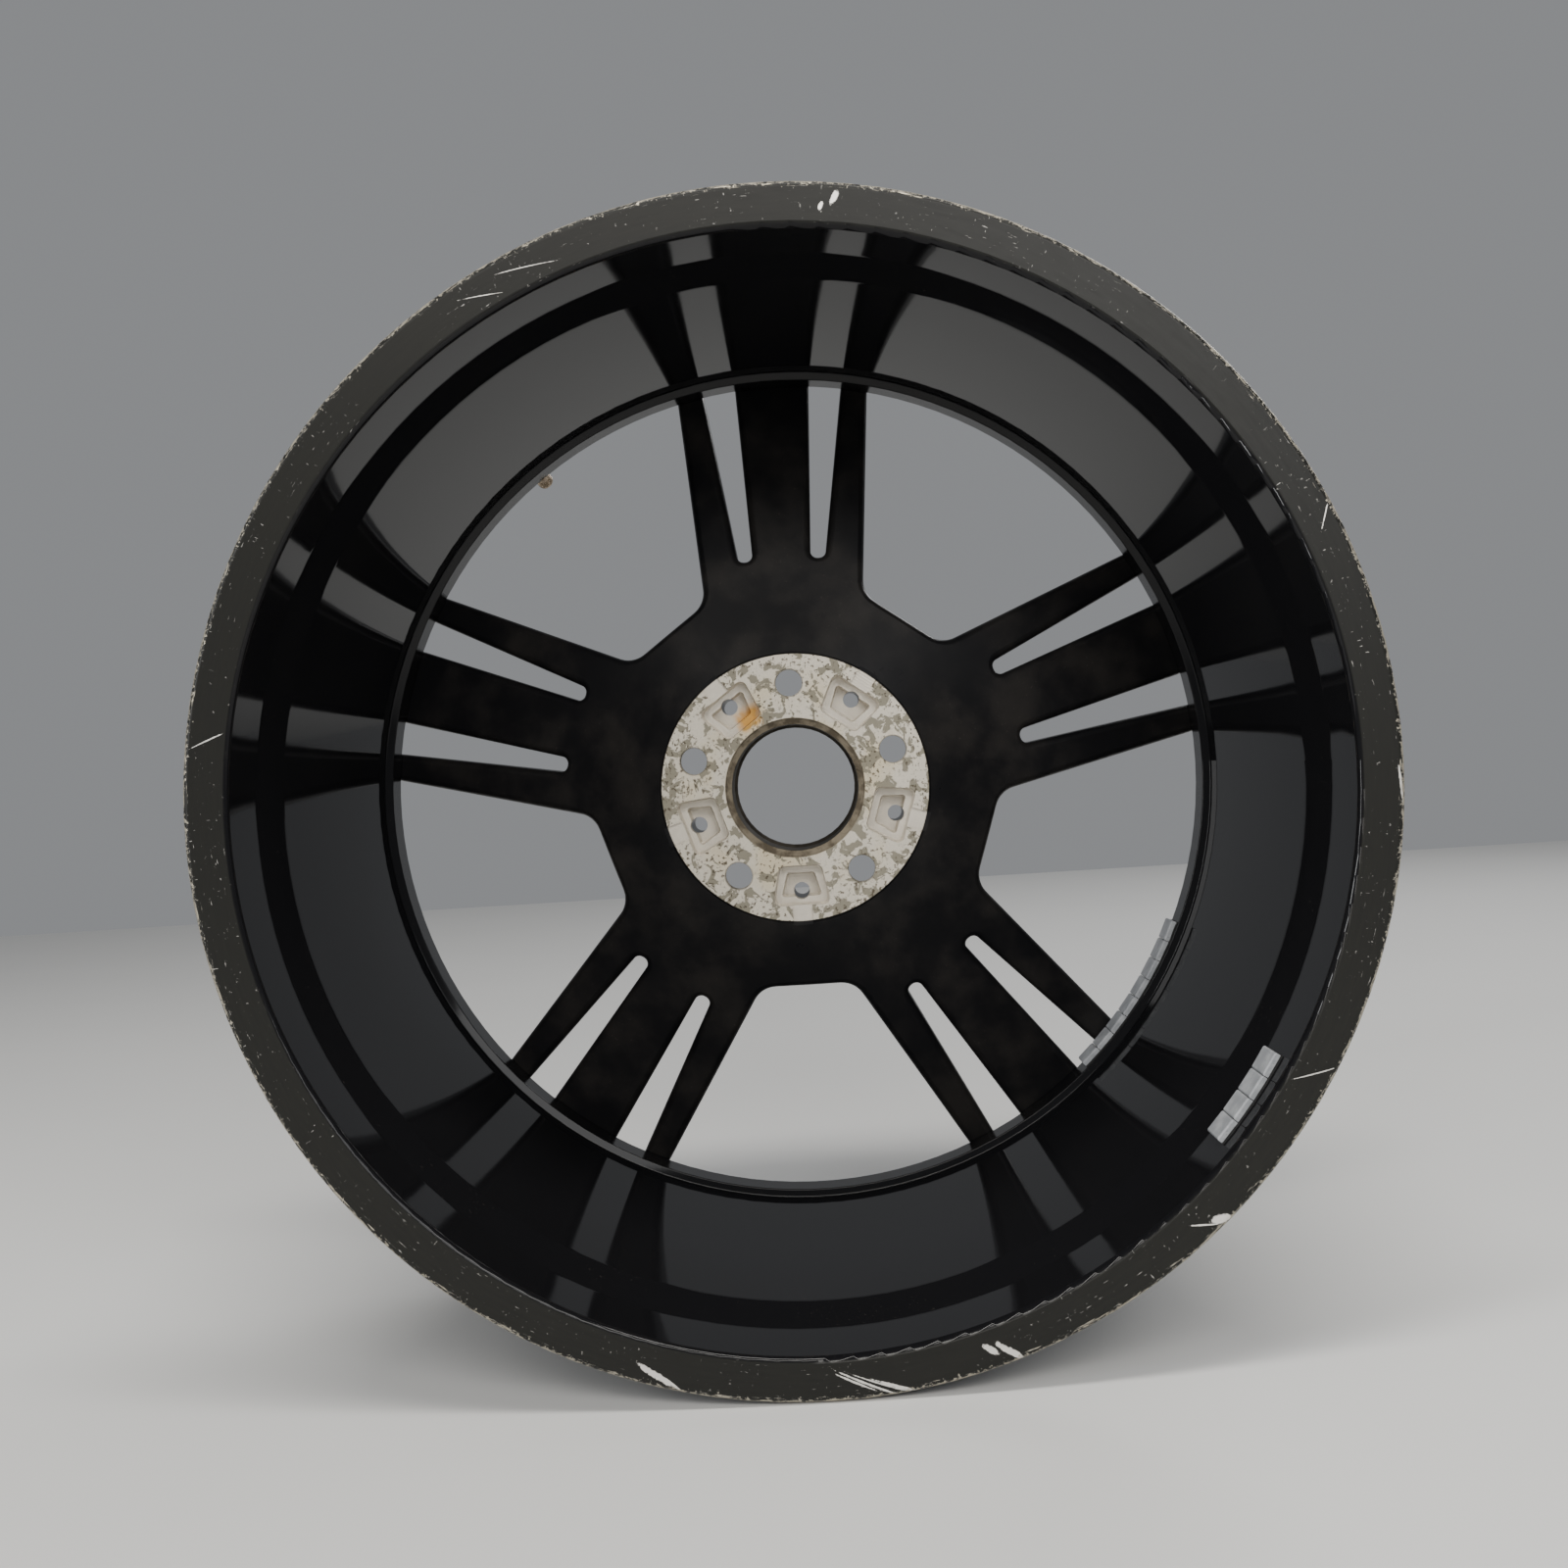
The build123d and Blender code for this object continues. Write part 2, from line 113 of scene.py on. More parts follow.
class WheelColours(bpy.types.PropertyGroup):
    """Colours of the wheel's finishes."""

    paint: colour("Paint", "Gloss black over the forging", (0.0060, 0.0060, 0.0068))
    # brown film colour: real brake dust and road film, also used as painted soft highlight on the hub and
    # spoke backs
    dust_and_sheen: colour("Dust", "Brake dust and road film on the paint", (0.075, 0.066, 0.056))
    flange: colour("Worn flange", "Rubbed paint on the inboard flange", (0.016, 0.016, 0.0135))
    alloy: colour("Bare alloy", "Machined mounting pad", (0.66, 0.61, 0.515))
    oxide: colour("Oxide", "Dull islands left on the pad", (0.205, 0.188, 0.140))
    pits: colour("Pits", "Corrosion pits and specks", (0.085, 0.066, 0.044))
    tinge: colour("Tinge", "Yellow-brown film on the pad", (0.62, 0.49, 0.25))
    rust: colour("Rust", "Rust run in one pocket", (0.60, 0.31, 0.045))
    scar: colour("Scar", "Fresh alloy in kerb marks", (0.72, 0.70, 0.66))
    edge: colour("Edge", "Dulled alloy along the flange's rim", (0.46, 0.42, 0.33))
    weight: colour("Weight", "Grey coat on the balance weights", (0.235, 0.245, 0.26))
    tape: colour("Tape", "Foam tape", (0.012, 0.012, 0.012))
    cap: colour("Valve cap", "Dull metal cap", (0.50, 0.41, 0.31))
    floor: colour("Floor", "Studio floor", (0.62, 0.62, 0.61))


class WheelSizes(bpy.types.PropertyGroup):
    """Sizes of the two strips of balance weights."""

    thick: length("Thickness", "Thickness of a segment", 0.0031)
    bevel: length("Bevel", "Bevel on the open side", 0.0007)
    gap: length("Gap", "Gap between two segments", 0.0004)
    tape: length("Tape", "Thickness of the foam tape", 0.0009)
    clear: length("Clearance", "Between a segment's ends and the tape", 0.00005)
    outer_count: IntProperty(name="Outboard segments", description="Segments on the ring", default=8)
    outer_start: turn("Outboard start", "Angle of the outboard strip's end", radians(312.4))
    outer_step: turn("Outboard step", "Angle from segment to segment", radians(3.05))
    inner_count: IntProperty(name="Inboard segments", description="Segments in the seat", default=4)
    inner_start: turn("Inboard start", "Angle of the inboard strip's end", radians(317.5))
    inner_step: turn("Inboard step", "Angle from segment to segment", radians(2.75))


# ---- laying shader nodes --------------------------------------------------------------------
class Finish:
    """A material on one Principled shader, with short calls for the nodes that feed it."""

    def __init__(self, name, rough=0.5, metallic=0.0):
        self.material = bpy.data.materials.new(name)
        self.material.use_nodes = True
        self.tree = self.material.node_tree
        self.tree.nodes.clear()
        self.shader = self.tree.nodes.new("ShaderNodeBsdfPrincipled")
        output = self.tree.nodes.new("ShaderNodeOutputMaterial")
        self.tree.links.new(self.shader.outputs["BSDF"], output.inputs["Surface"])
        self.shader.inputs["Roughness"].default_value = rough
        self.shader.inputs["Metallic"].default_value = metallic
        self.place = self.tree.nodes.new("ShaderNodeTexCoord").outputs["Object"]

    def put(self, socket, value):
        if isinstance(value, bpy.types.NodeSocket):
            self.tree.links.new(value, socket)
        else:
            socket.default_value = value

    def set(self, **inputs):
        for name, value in inputs.items():
            self.put(self.shader.inputs[name.replace("_", " ")], value)

    def node(self, kind, inputs, output=0, **settings):
        node = self.tree.nodes.new(kind)
        for name, value in settings.items():
            setattr(node, name, value)
        for key, value in inputs.items():
            self.put(node.inputs[key], value)
        return node.outputs[output]

    def math(self, what, a, b=0.0, c=0.0):
        return self.node("ShaderNodeMath", {0: a, 1: b, 2: c}, operation=what)

    def both(self, *masks):
        mask = masks[0]
        for other in masks[1:]:
            mask = self.math("MULTIPLY", mask, other)
        return mask

    def either(self, *masks):
        mask = masks[0]
        for other in masks[1:]:
            mask = self.math("MAXIMUM", mask, other)
        return mask

    def opposite(self, mask):
        return self.math("SUBTRACT", 1.0, mask)

    def above(self, value, level, soft):
        """0 below the level, 1 above it, smooth across twice the softness."""
        ends = {"Value": value, "From Min": level - soft, "From Max": level + soft}
        return self.node("ShaderNodeMapRange", ends, interpolation_type="SMOOTHSTEP")

    def below(self, value, level, soft):
        return self.opposite(self.above(value, level, soft))

    def noise(self, scale, detail=3.0, rough=0.5, place=None, warp=0.0):
        inputs = {"Vector": place or self.place, "Scale": scale, "Detail": detail}
        inputs.update({"Roughness": rough, "Distortion": warp})
        return self.node("ShaderNodeTexNoise", inputs, output="Fac")

    def cells(self, scale):
        inputs = {"Vector": self.place, "Scale": scale}
        return self.node("ShaderNodeTexVoronoi", inputs, output="Distance")

    def mix(self, mask, a, b):
        a, b = [v if isinstance(v, bpy.types.NodeSocket) else (*v, 1.0) for v in (a, b)]
        return self.node("ShaderNodeMix", {0: mask, 6: a, 7: b}, output=2, data_type="RGBA")

    def grade(self, mask, a, b):
        return self.node("ShaderNodeMix", {0: mask, 2: a, 3: b}, output=0, data_type="FLOAT")

    def point(self, x, y, z):
        return self.node("ShaderNodeCombineXYZ", {0: x, 1: y, 2: z})

    def parts(self):
        split = self.tree.nodes.new("ShaderNodeSeparateXYZ")
        self.tree.links.new(self.place, split.inputs[0])
        return split.outputs[0], split.outputs[1], split.outputs[2]

    def dent(self, height, depth, strength=1.0, under=None):
        inputs = {"Height": height, "Distance": depth, "Strength": strength}
        if under is not None:
            inputs["Normal"] = under
        return self.node("ShaderNodeBump", inputs)


# ---- the forging: paint, worn flange, bare pad ----------------------------------------------
def kerb_gouge(s, along, radius, wobble, gouge):
    """A stroke of bare alloy on the flange: an ellipse with a ragged edge."""
    angle, at_r, long, wide, tilt = gouge
    centre = radians(angle)
    run = s.math("MULTIPLY", s.math("SUBTRACT", along, centre), at_r)
    rise = s.math("SUBTRACT", radius, at_r)
    ct, st = cos(radians(tilt)), sin(radians(tilt))
    u = s.math("ADD", s.math("MULTIPLY", run, ct), s.math("MULTIPLY", rise, st))
    v = s.math("SUBTRACT", s.math("MULTIPLY", rise, ct), s.math("MULTIPLY", run, st))
    u = s.math("DIVIDE", u, long / 2)
    v = s.math("DIVIDE", v, wide / 2)
    reach = s.math("SQRT", s.math("ADD", s.math("MULTIPLY", u, u), s.math("MULTIPLY", v, v)))
    return s.below(s.math("ADD", reach, wobble), 1.0, 0.12)


def alloy_pad(s, colours, x, y, z, radius, angle):
    """Colour, roughness and relief of the bare mounting pad and its pockets."""
    patches = s.noise(105, 7, 0.60, warp=0.6)
    islands = s.above(patches, 0.535, 0.012)
    flakes = s.above(s.noise(430, 5, 0.62), 0.585, 0.015)
    crowd = s.above(s.noise(42, 2), 0.48, 0.10)
    specks = s.both(flakes, s.either(crowd, s.above(radius, 0.070, 0.004)))
    film = s.both(s.above(s.noise(38, 4), 0.53, 0.10), s.below(radius, 0.062, 0.012))
    pad = s.mix(s.math("MULTIPLY", film, 0.42), colours.alloy, colours.tinge)
    pad = s.mix(s.math("MULTIPLY", s.noise(900, 2), 0.30), pad, colours.oxide)
    pad = s.mix(s.math("MULTIPLY", islands, 0.88), pad, colours.oxide)
    pad = s.mix(s.math("MULTIPLY", specks, 0.85), pad, colours.pits)

    # pockets: place along and across the nearest one
    lean = s.math("ADD", angle, 4 * pi - TOP_SPOKE_ANGLE)
    lean = s.math("SUBTRACT", s.math("MODULO", lean, SPOKE_STEP), SPOKE_STEP / 2)
    outward = s.math("MULTIPLY", radius, s.math("COSINE", lean))
    across = s.math("ABSOLUTE", s.math("MULTIPLY", radius, s.math("SINE", lean)))
    from_centre = s.math("ABSOLUTE", s.math("SUBTRACT", outward, POCKET_CENTRE_R))
    ring = s.math("MAXIMUM", from_centre, s.math("MULTIPLY", across, 0.82))
    passes = s.math("SINE", s.math("MULTIPLY", ring, 2 * pi / CUTTER_PASS))
    in_pocket = s.both(s.above(y, 0.0005, 0.0003), s.below(across, POCKET_HALF, 0.0004))
    satin = s.mix(s.noise(260, 3), (0.68, 0.63, 0.54), (0.56, 0.515, 0.44))
    satin = s.mix(s.math("MULTIPLY", s.above(y, 0.0165, 0.001), 0.25), satin, (0.44, 0.40, 0.34))
    pad = s.mix(in_pocket, pad, satin)

    rust_x, rust_z = RUST_PLACE
    stain_at = s.point(s.math("SUBTRACT", x, rust_x), 0.0, s.math("SUBTRACT", z, rust_z))
    spread = s.node("ShaderNodeVectorMath", {0: stain_at}, output="Value", operation="LENGTH")
    spread = s.math("ADD", spread, s.math("MULTIPLY", s.noise(170, 4), 0.012))
    stain = s.below(spread, 0.0125, 0.0035)
    pad = s.mix(s.math("MULTIPLY", stain, 0.90), pad, colours.rust)

    bore = s.below(radius, BORE_CHAMFER_R, 0.0003)
    cloud = s.above(s.noise(90, 5, 0.6), 0.5, 0.1)
    brown = s.mix(cloud, (0.235, 0.200, 0.145), (0.105, 0.086, 0.060))
    pad = s.mix(bore, pad, brown)
    deep = s.both(s.below(radius, BORE_R + 0.0003, 0.0002), s.above(y, BORE_CHAMFER_Y, 0.0004))
    pad = s.mix(s.math("MULTIPLY", deep, 0.85), pad, (0.012, 0.011, 0.010))
    rough = s.grade(islands, 0.44, 0.66)
    rough = s.grade(in_pocket, rough, 0.36)
    rough = s.grade(s.either(specks, stain, bore), rough, 0.74)
    metal = s.grade(s.either(specks, stain, bore), s.grade(islands, 0.42, 0.20), 0.10)
    relief = s.math("ADD", s.math("MULTIPLY", s.opposite(islands), 0.5), s.opposite(specks))
    relief = s.grade(in_pocket, relief, s.math("MULTIPLY", passes, 0.10))
    return pad, rough, metal, relief


def forging_finish(colours):
    s = Finish("black_paint_over_alloy")
    x, y, z = s.parts()
    flat = s.point(x, 0.0, z)
    radius = s.node("ShaderNodeVectorMath", {0: flat}, output="Value", operation="LENGTH")
    angle = s.math("ARCTAN2", z, x)
    swept = s.point(s.math("MULTIPLY", angle, 0.28), s.math("MULTIPLY", radius, 9.0), y)
    crossed = s.point(s.math("MULTIPLY", angle, 1.3), s.math("MULTIPLY", radius, 1.0), y)

    # paint with its film of dust; behind the spokes this film also serves as painted soft highlight on
    # the hub and spoke backs
    hub = s.below(radius, 0.118, 0.030)
    behind = s.both(s.below(y, SPOKE_BACK_Y, 0.006), s.below(radius, RING_R - 0.0001, 0.0006))
    film = s.noise(26, 5, 0.6)
    grit = s.above(s.noise(620, 4, 0.7), 0.66, 0.03)
    # lighter brown patches behind the spokes: partly real dust, partly painted soft highlight on the hub
    # and spoke backs
    dust_and_sheen_mask = s.both(behind, s.above(film, 0.55, 0.16))
    paint = s.mix(s.math("MULTIPLY", dust_and_sheen_mask, 0.16), colours.paint, colours.dust_and_sheen)
    paint = s.mix(s.math("MULTIPLY", s.both(grit, s.above(film, 0.52, 0.14)), 0.30), paint, colours.dust_and_sheen)
    rough = s.grade(behind, 0.055, 0.34)
    rough = s.grade(s.both(hub, behind), rough, 0.28)
    rough = s.math("ADD", rough, s.math("MULTIPLY", s.math("SUBTRACT", film, 0.5), 0.05))

    # inboard flange, rubbed dull, chipped to metal along its rim
    near_face = s.below(y, FLANGE_FACE_Y + 0.0042, 0.0006)
    flange = s.both(near_face, s.above(radius, SEAT_BORE_R + 0.0020, 0.0006))
    rub = s.noise(60, 6, 0.65, place=swept)
    worn = s.mix(s.math("MULTIPLY", rub, 0.8), colours.flange, (0.006, 0.006, 0.006))
    paint = s.mix(flange, paint, worn)
    rough = s.grade(flange, rough, s.math("ADD", 0.25, s.math("MULTIPLY", rub, 0.20)))

    edge_wear = s.math("MULTIPLY", s.math("SUBTRACT", radius, WORN_EDGE_R), 62.0)
    fine = s.math("ADD", s.noise(520, 6, 0.72), edge_wear)
    coarse = s.math("ADD", s.noise(95, 5, 0.7, place=swept), s.math("MULTIPLY", edge_wear, 0.8))
    bare_rim = s.either(s.above(fine, 0.605, 0.03), s.above(coarse, 0.62, 0.03))
    arcs = s.above(s.noise(150, 3, 0.6, place=swept), 0.705, 0.012)
    strokes = s.above(s.noise(210, 2, 0.5, place=crossed, warp=0.2), 0.745, 0.012)
    sparse = s.above(s.noise(11, 2), 0.47, 0.06)
    spots = s.both(s.above(s.noise(520, 3, 0.6), 0.70, 0.02), s.above(s.noise(30, 2), 0.52, 0.05))
    scuffs = s.either(s.both(sparse, s.either(arcs, strokes)), s.math("MULTIPLY", spots, 0.6))
    wobble = s.math("MULTIPLY", s.math("SUBTRACT", s.noise(420, 5, 0.75), 0.5), 1.9)
    gouges = [kerb_gouge(s, angle, radius, wobble, g) for g in KERB_GOUGES]
    marks = s.either(s.math("MULTIPLY", scuffs, 0.45), s.math("MULTIPLY", bare_rim, 0.85), *gouges)
    marks = s.both(flange, marks)

    # bare pad, pockets, lug holes and bore
    pad_colour, pad_rough, pad_metal, pad_relief = alloy_pad(s, colours, x, y, z, radius, angle)
    above_floor = s.below(y, POCKET_FLOOR_Y + 0.0008, 0.0003)
    on_pad = s.both(s.below(radius, PAD_R + 0.0002, 0.0003), above_floor)
    in_bore = s.both(s.below(radius, BORE_R + 0.0006, 0.0003), s.below(y, BORE_END_Y, 0.0003))
    bare = s.either(on_pad, in_bore)

    tint = s.mix(marks, paint, s.mix(bare_rim, colours.scar, colours.edge))
    tint = s.mix(bare, tint, pad_colour)
    rough = s.grade(marks, rough, 0.46)
    rough = s.grade(bare, rough, pad_rough)
    metal = s.grade(bare, s.math("MULTIPLY", marks, 0.75), pad_metal)

    peel = s.noise(420, 2, 0.5)
    turned = s.math("MULTIPLY", s.noise(1500, 2, place=s.point(0.0, y, radius)), 0.35)
    skin = s.dent(s.math("ADD", peel, turned), 0.00002, 0.14)
    scars = s.dent(s.opposite(marks), 0.00025, 0.8, skin)
    relief = s.dent(s.math("MULTIPLY", pad_relief, bare), 0.00022, 0.9, scars)
    s.set(Base_Color=tint, Roughness=rough, Metallic=metal, Normal=relief)
    s.shader.inputs["Specular IOR Level"].default_value = 0.17
    return s.material


# ---- the smaller finishes -------------------------------------------------------------------
def weight_finish(colours):
    """Grey coat on steel, rubbed a little, with a few dark specks."""
    s = Finish("weight_coat")
    cloud = s.noise(140, 5, 0.6)
    tint = s.mix(s.above(cloud, 0.52, 0.16), colours.weight, (0.33, 0.34, 0.355))
    specks = s.above(s.noise(900, 3, 0.6), 0.67, 0.02)
    tint = s.mix(s.math("MULTIPLY", specks, 0.6), tint, (0.06, 0.06, 0.06))
    grain = s.noise(2600, 2)
    s.set(Base_Color=tint, Roughness=s.grade(cloud, 0.42, 0.62), Normal=s.dent(grain, 0.00004, 0.5))
    s.shader.inputs["Metallic"].default_value = 0.1
    return s.material


def foam_finish(colours):
    """Closed-cell foam: small open pores on a cut edge."""
    s = Finish("foam_tape")
    pores = s.cells(1700)
    tint = s.mix(s.above(pores, 0.45, 0.2), (0.003, 0.003, 0.003), colours.tape)
    s.set(Base_Color=tint, Roughness=s.grade(pores, 0.95, 0.8), Normal=s.dent(pores, 0.0002, 0.8))
    return s.material


def tarnished(name, tint, dark, rough, metallic, stain_scale):
    """Turned metal with fine lathe marks and a tarnish that comes and goes."""
    s = Finish(name, metallic=metallic)
    tarnish = s.noise(stain_scale, 5, 0.65)
    fine = s.noise(3200, 2)
    shade = s.mix(s.above(tarnish, 0.52, 0.14), tint, dark)
    s.set(Base_Color=shade, Roughness=s.grade(tarnish, rough - 0.08, rough + 0.18))
    s.set(Normal=s.dent(fine, 0.00002, 0.5))
    return s.material


def moulded(name, tint, rough, scale):
    """Moulded rubber or plastic with an eroded grain."""
    s = Finish(name)
    grain = s.noise(scale, 4, 0.6)
    lighter = tuple(min(1.0, v * 1.6 + 0.004) for v in tint)
    s.set(Base_Color=s.mix(grain, tint, lighter), Roughness=s.grade(grain, rough - 0.08, rough + 0.12))
    s.set(Normal=s.dent(grain, 0.00006, 0.5))
    return s.material


def board_finish():
    """Green lacquer over fine copper runs."""
    s = Finish("board_lacquer", rough=0.35)
    _, y, _ = s.parts()
    lines = s.math("SINE", s.math("MULTIPLY", y, 2 * pi / 0.0011))
    runs = s.both(s.above(lines, 0.55, 0.1), s.above(s.cells(260), 0.35, 0.05))
    s.set(Base_Color=s.mix(runs, (0.012, 0.085, 0.035), (0.05, 0.20, 0.08)))
    s.set(Normal=s.dent(runs, 0.00003, 0.5))
    return s.material


def floor_finish(colours):
    s = Finish("studio_floor", rough=0.6)
    s.set(Base_Color=s.mix(s.noise(3, 4), colours.floor, tuple(0.95 * v for v in colours.floor)))
    return s.material


def coat(material, *nodes):
    """Give CAD nodes a finish through their objects' own slots."""
    for name in nodes:
        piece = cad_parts[name]
        if not piece.material_slots:
            raise RuntimeError(f"{name} has no material slot")
        for slot in piece.material_slots:
            slot.link = "OBJECT"
            slot.material = material


# ---- strips of balance weights, by geometry nodes -------------------------------------------
STRIP_INPUTS = [
    ("Segments", "NodeSocketInt"),
    ("Start", "NodeSocketFloat"),
    ("Step", "NodeSocketFloat"),
    ("Radius", "NodeSocketFloat"),
    ("Depth", "NodeSocketFloat"),
    ("Lean", "NodeSocketFloat"),
    ("Width", "NodeSocketFloat"),
    ("Height", "NodeSocketFloat"),
    ("Thickness", "NodeSocketFloat"),
    ("Bevel", "NodeSocketFloat"),
    ("Finish", "NodeSocketMaterial"),
]


class Tree:
    """Short calls for the nodes of a geometry tree."""

    def __init__(self, name, inputs):
        self.tree = bpy.data.node_groups.new(name, "GeometryNodeTree")
        self.keys = {}
        for title, kind in inputs:
            socket = self.tree.interface.new_socket(name=title, in_out="INPUT", socket_type=kind)
            self.keys[title] = socket.identifier
        self.tree.interface.new_socket(name="Geometry", in_out="OUTPUT", socket_type="NodeSocketGeometry")
        self.given = self.tree.nodes.new("NodeGroupInput").outputs
        self.result = self.tree.nodes.new("NodeGroupOutput").inputs

    def node(self, kind, inputs, output=0, **settings):
        node = self.tree.nodes.new(kind)
        for name, value in settings.items():
            setattr(node, name, value)
        for key, value in inputs.items():
            if isinstance(value, bpy.types.NodeSocket):
                self.tree.links.new(value, node.inputs[key])
            else:
                node.inputs[key].default_value = value
        return node.outputs[output]

    def math(self, what, a, b=0.0):
        return self.node("ShaderNodeMath", {0: a, 1: b}, operation=what)

    def point(self, x, y, z):
        return self.node("ShaderNodeCombineXYZ", {0: x, 1: y, 2: z})


def strip_tree():
    """Bevelled blocks laid side by side round the inside of the rim."""
    t = Tree("weight_strip", STRIP_INPUTS)
    wide, high = t.given["Width"], t.given["Height"]
    thick, bevel = t.given["Thickness"], t.given["Bevel"]
    block = t.node(
        "GeometryNodeMeshCube",
        {"Size": t.point(wide, high, thick), "Vertices X": 2, "Vertices Y": 2, "Vertices Z": 3},
    )
    split = t.tree.nodes.new("ShaderNodeSeparateXYZ")
    t.tree.links.new(t.node("GeometryNodeInputPosition", {}), split.inputs[0])
    px, py, pz = split.outputs
    quarter = t.math("MULTIPLY", thick, 0.25)
    open_side = t.math("LESS_THAN", pz, t.math("MULTIPLY", quarter, -1.0))
    middle = t.math("LESS_THAN", t.math("ABSOLUTE", pz), quarter)
    drawn_in = t.math("MULTIPLY", bevel, open_side)
    half_wide = t.math("SUBTRACT", t.math("MULTIPLY", wide, 0.5), drawn_in)
    half_high = t.math("SUBTRACT", t.math("MULTIPLY", high, 0.5), drawn_in)
    shoulder = t.math("SUBTRACT", bevel, t.math("MULTIPLY", thick, 0.5))
    level = t.math("ADD", pz, t.math("MULTIPLY", middle, shoulder))
    corner = t.point(
        t.math("MULTIPLY", t.math("SIGN", px), half_wide),
        t.math("MULTIPLY", t.math("SIGN", py), half_high),
        level,
    )
    block = t.node("GeometryNodeSetPosition", {"Geometry": block, "Position": corner})
    out_to_rim = t.point(0.0, t.given["Depth"], t.given["Radius"])
    leaning = t.point(t.given["Lean"], 0.0, 0.0)
    block = t.node(
        "GeometryNodeTransform", {"Geometry": block, "Translation": out_to_rim, "Rotation": leaning}
    )
    points = t.node("GeometryNodePoints", {"Count": t.given["Segments"]})
    number = t.math("ADD", t.node("GeometryNodeInputIndex", {}), 0.5)
    angle = t.math("ADD", t.given["Start"], t.math("MULTIPLY", number, t.given["Step"]))
    swing = t.point(0.0, t.math("SUBTRACT", pi / 2, angle), 0.0)
    laid = t.node(
        "GeometryNodeInstanceOnPoints", {"Points": points, "Instance": block, "Rotation": swing}
    )
    solid = t.node("GeometryNodeRealizeInstances", {"Geometry": laid})
    coated = t.node("GeometryNodeSetMaterial", {"Geometry": solid, "Material": t.given["Finish"]})
    t.tree.links.new(coated, t.result["Geometry"])
    return t


def grown(tree, name, values):
    """The tree's result as a plain mesh object at the origin."""
    holder = bpy.data.objects.new(name + "_maker", bpy.data.meshes.new(name + "_maker"))
    bpy.context.scene.collection.objects.link(holder)
    maker = holder.modifiers.new("Make", "NODES")
    maker.node_group = tree.tree
    for title, value in values.items():
        maker[tree.keys[title]] = value
    graph = bpy.context.evaluated_depsgraph_get()
    mesh = bpy.data.meshes.new_from_object(holder.evaluated_get(graph))
    mesh.name = name
    holder.modifiers.remove(maker)
    bpy.data.objects.remove(holder)
    piece = bpy.data.objects.new(name, mesh)
    bpy.context.scene.collection.objects.link(piece)
    if not mesh.polygons:
        raise RuntimeError(f"{name} came out empty")
    return piece


def soft_edges(piece, width):
    bevel = piece.modifiers.new("Edges", "BEVEL")
    bevel.width = width
    bevel.segments = 2
    bevel.limit_method = "ANGLE"
    bevel.angle_limit = radians(25)
    bevel.harden_normals = False


# ---- operators ------------------------------------------------------------------------------
class WHEEL_OT_forging(bpy.types.Operator):
    """Paint the forging, wear its flange and bare its pad"""

    bl_idname = "wheel.forging"
    bl_label = "Wheel forging"

    def execute(self, context):
        coat(forging_finish(context.scene.wheel_colours), "wheel_forging")
        return {"FINISHED"}


class WHEEL_OT_weights(bpy.types.Operator):
    """Lay the two strips of balance weights and coat their tape"""

    bl_idname = "wheel.weights"
    bl_label = "Balance weights"

    def execute(self, context):
        sizes = context.scene.wheel_sizes
        colours = context.scene.wheel_colours
        finish = weight_finish(colours)
        tree = strip_tree()
        for side in ("outboard", "inboard"):
            self.lay_strip(tree, side, sizes, finish)
        coat(foam_finish(colours), "tape_outboard", "tape_inboard")
        return {"FINISHED"}

    def lay_strip(self, tree, side, sizes, finish):
        outer = side == "outboard"
        low, high = OUTER_STRIP_Y if outer else INNER_STRIP_Y
        end_r, end_y = SEAT_BORE_END
        slope = 0.0 if outer else (end_r - SEAT_BORE_R) / (end_y - FLANGE_FACE_Y)
        middle = (low + high) / 2
        rim_r = RING_R if outer else SEAT_BORE_R + slope * (middle - FLANGE_FACE_Y)
        count = sizes.outer_count if outer else sizes.inner_count
        step = sizes.outer_step if outer else sizes.inner_step
        wide = step * rim_r - sizes.gap
        tape_r = rim_r - sizes.tape
        back_r = tape_r * cos(wide / 2 / tape_r) - sizes.clear
        piece = grown(tree, f"weights_{side}", {
            "Segments": count,
            "Start": sizes.outer_start if outer else sizes.inner_start,
            "Step": step,
            "Radius": back_r - sizes.thick / 2,
            "Depth": middle,
            "Lean": atan(slope),
            "Width": wide,
            "Height": high - low,
            "Thickness": sizes.thick,
            "Bevel": sizes.bevel,
            "Finish": finish,
        })
        soft_edges(piece, 0.00018)
        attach(piece, "wheel")
        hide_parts(*[f"weight_{side}_{k + 1}" for k in range(count)])


class WHEEL_OT_valve(bpy.types.Operator):
    """Finish the valve, its core and its cap"""

    bl_idname = "wheel.valve"
    bl_label = "Valve"

    def execute(self, context):
        colours = context.scene.wheel_colours
        alloy = tarnished("valve_alloy", (0.52, 0.50, 0.46), (0.33, 0.31, 0.27), 0.34, 1.0, 320)
        cap = tarnished("cap_metal", tuple(colours.cap), (0.22, 0.165, 0.105), 0.42, 0.85, 420)
        brass = tarnished("core_brass", (0.66, 0.47, 0.20), (0.42, 0.28, 0.11), 0.28, 1.0, 600)
        seals = moulded("valve_rubber", (0.012, 0.012, 0.012), 0.66, 1600)
        wire = tarnished("spring_wire", (0.56, 0.56, 0.55), (0.38, 0.37, 0.35), 0.26, 1.0, 900)
        coat(alloy, "valve_stem", "valve_washer", "valve_nut")
        coat(cap, "valve_cap")
        coat(brass, "valve_core_body", "valve_core_pin")
        coat(seals, "valve_grommet", "valve_cap_liner", "valve_core_gasket", "valve_core_seal")
        coat(wire, "valve_core_spring", "sensor_screw")
        return {"FINISHED"}


